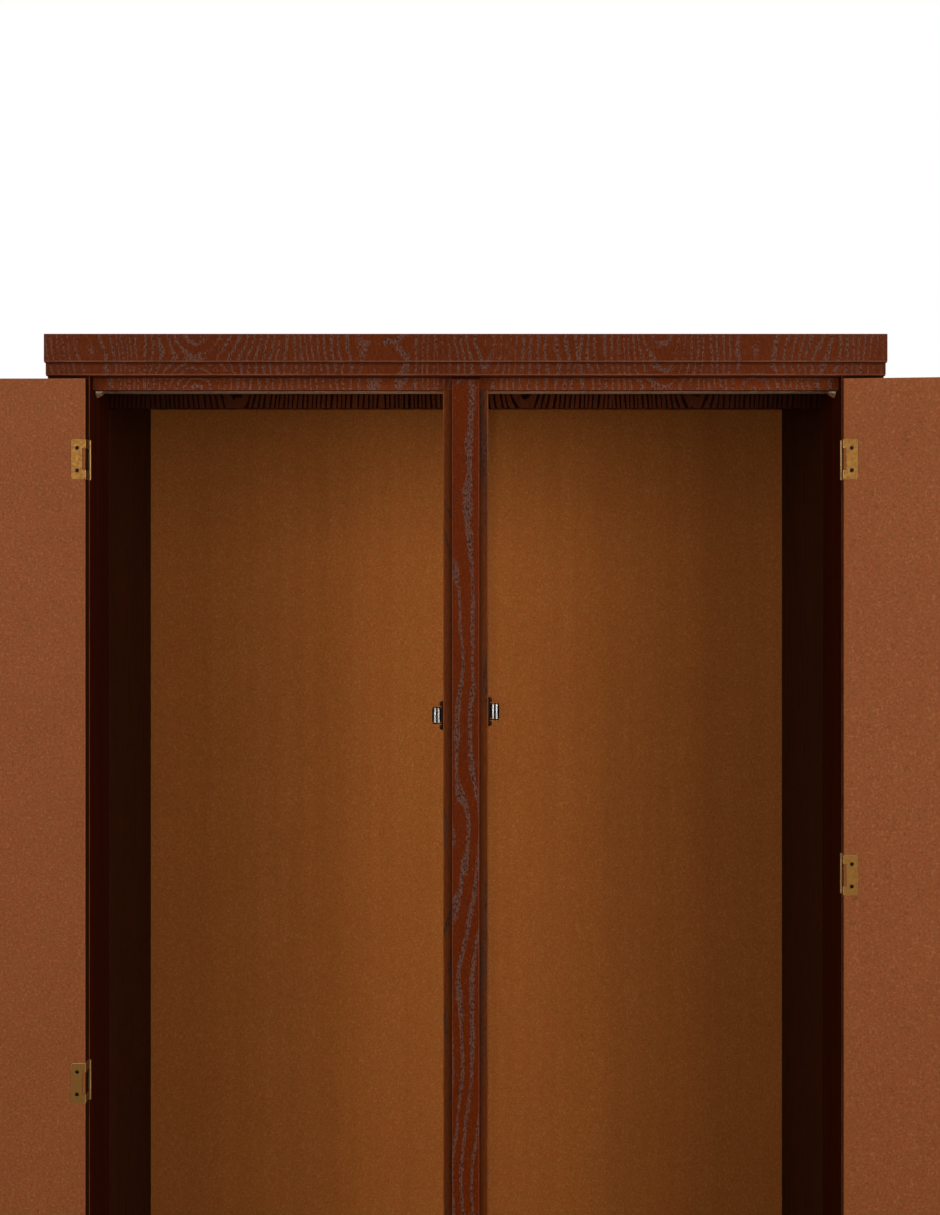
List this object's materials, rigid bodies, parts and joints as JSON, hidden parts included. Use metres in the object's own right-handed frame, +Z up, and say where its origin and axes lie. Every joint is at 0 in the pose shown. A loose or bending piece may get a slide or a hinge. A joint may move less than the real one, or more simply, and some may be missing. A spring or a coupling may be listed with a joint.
{
  "type": "wardrobe",
  "caption": "Tall oak wardrobe with a stepped cornice, two inset doors standing open on brass hinges, a centre post with roller catches, and one hanging space with a rod.",
  "frame": {"origin": "on the floor, at the centre of the carcass's footprint", "axes": "+Z up, front of the wardrobe towards -Y, +X to the right of a person who faces it"},
  "size_m": [1.8722, 0.653, 1.95],
  "materials": {
    "filled_oak": "red-brown stained oak, pale filled grain, satin lacquer",
    "dark_oak": "dark stained oak, satin lacquer",
    "plain_timber": "unfinished softwood",
    "back_hardboard": "brown hardboard, smooth",
    "door_hardboard": "brown hardboard, smooth, speckled",
    "knob_wood": "turned oak, dark stain",
    "hinge_brass": "aged brass",
    "rod_brass": "satin brass",
    "catch_bronze": "dark bronzed steel",
    "strike_steel": "plated steel",
    "roller_chrome": "polished",
    "screw_steel": "blackened steel"
  },
  "bodies": {
    "carcass": {"back_panel": "back_hardboard", "bottom_rail": "filled_oak", "catch_screws": "screw_steel", "ceiling_panel": "dark_oak", "centre_post": "filled_oak", "centre_top_batten": "plain_timber", "clothes_rod": "rod_brass", "cornice_lower_board": "filled_oak", "cornice_upper_board": "filled_oak", "floor_board": "dark_oak", "frame_leaf_screws": "screw_steel", "front_top_batten": "plain_timber", "left_front_post": "dark_oak", "left_hinge_frame_leaves": "hinge_brass", "left_hinge_pins": "hinge_brass", "left_inner_side": "dark_oak", "left_lower_catch": "catch_bronze", "left_outer_side": "filled_oak", "left_rear_post": "plain_timber", "left_rod_socket": "rod_brass", "left_upper_catch": "catch_bronze", "plinth_back": "plain_timber", "plinth_bearer": "plain_timber", "plinth_front": "filled_oak", "post_strip": "filled_oak", "rear_top_batten": "plain_timber", "right_front_post": "dark_oak", "right_hinge_frame_leaves": "hinge_brass", "right_hinge_pins": "hinge_brass", "right_inner_side": "dark_oak", "right_lower_catch": "catch_bronze", "right_outer_side": "filled_oak", "right_rear_post": "plain_timber", "right_rod_socket": "rod_brass", "right_upper_catch": "catch_bronze", "rod_socket_screws": "screw_steel", "top_board": "filled_oak", "top_rail": "filled_oak"},
    "left_door": {"left_catch_strikes": "strike_steel", "left_door_back": "door_hardboard", "left_door_board": "filled_oak", "left_door_screws": "screw_steel", "left_hinge_door_leaves": "hinge_brass", "left_knob": "knob_wood"},
    "right_door": {"right_catch_strikes": "strike_steel", "right_door_back": "door_hardboard", "right_door_board": "filled_oak", "right_door_screws": "screw_steel", "right_hinge_door_leaves": "hinge_brass", "right_knob": "knob_wood"},
    "left_lower_far_roller": {"left_lower_far_roller": "roller_chrome"},
    "left_lower_near_roller": {"left_lower_near_roller": "roller_chrome"},
    "left_upper_far_roller": {"left_upper_far_roller": "roller_chrome"},
    "left_upper_near_roller": {"left_upper_near_roller": "roller_chrome"},
    "right_lower_far_roller": {"right_lower_far_roller": "roller_chrome"},
    "right_lower_near_roller": {"right_lower_near_roller": "roller_chrome"},
    "right_upper_far_roller": {"right_upper_far_roller": "roller_chrome"},
    "right_upper_near_roller": {"right_upper_near_roller": "roller_chrome"}
  },
  "joints": [
    {"name": "left_door_swing", "type": "hinge", "parent": "carcass", "child": "left_door", "pos_m": [-0.4788, -0.2773, 1.0032], "axis": [0, 0, 1], "range_deg": [0, 180]},
    {"name": "right_door_swing", "type": "hinge", "parent": "carcass", "child": "right_door", "pos_m": [0.4788, -0.2773, 1.0032], "axis": [0, 0, -1], "range_deg": [-8, 172]},
    {"name": "left_lower_far_roller_spring", "type": "slide", "parent": "carcass", "child": "left_lower_far_roller", "axis": [-1, 0, 0], "range_m": [0, 0.0013], "stiffness_N_per_m": 1000},
    {"name": "left_lower_near_roller_spring", "type": "slide", "parent": "carcass", "child": "left_lower_near_roller", "axis": [1, 0, 0], "range_m": [0, 0.0013], "stiffness_N_per_m": 1000},
    {"name": "left_upper_far_roller_spring", "type": "slide", "parent": "carcass", "child": "left_upper_far_roller", "axis": [-1, 0, 0], "range_m": [0, 0.0013], "stiffness_N_per_m": 1000},
    {"name": "left_upper_near_roller_spring", "type": "slide", "parent": "carcass", "child": "left_upper_near_roller", "axis": [1, 0, 0], "range_m": [0, 0.0013], "stiffness_N_per_m": 1000},
    {"name": "right_lower_far_roller_spring", "type": "slide", "parent": "carcass", "child": "right_lower_far_roller", "axis": [1, 0, 0], "range_m": [0, 0.0013], "stiffness_N_per_m": 1000},
    {"name": "right_lower_near_roller_spring", "type": "slide", "parent": "carcass", "child": "right_lower_near_roller", "axis": [-1, 0, 0], "range_m": [0, 0.0013], "stiffness_N_per_m": 1000},
    {"name": "right_upper_far_roller_spring", "type": "slide", "parent": "carcass", "child": "right_upper_far_roller", "axis": [1, 0, 0], "range_m": [0, 0.0013], "stiffness_N_per_m": 1000},
    {"name": "right_upper_near_roller_spring", "type": "slide", "parent": "carcass", "child": "right_upper_near_roller", "axis": [-1, 0, 0], "range_m": [0, 0.0013], "stiffness_N_per_m": 1000}
  ]
}
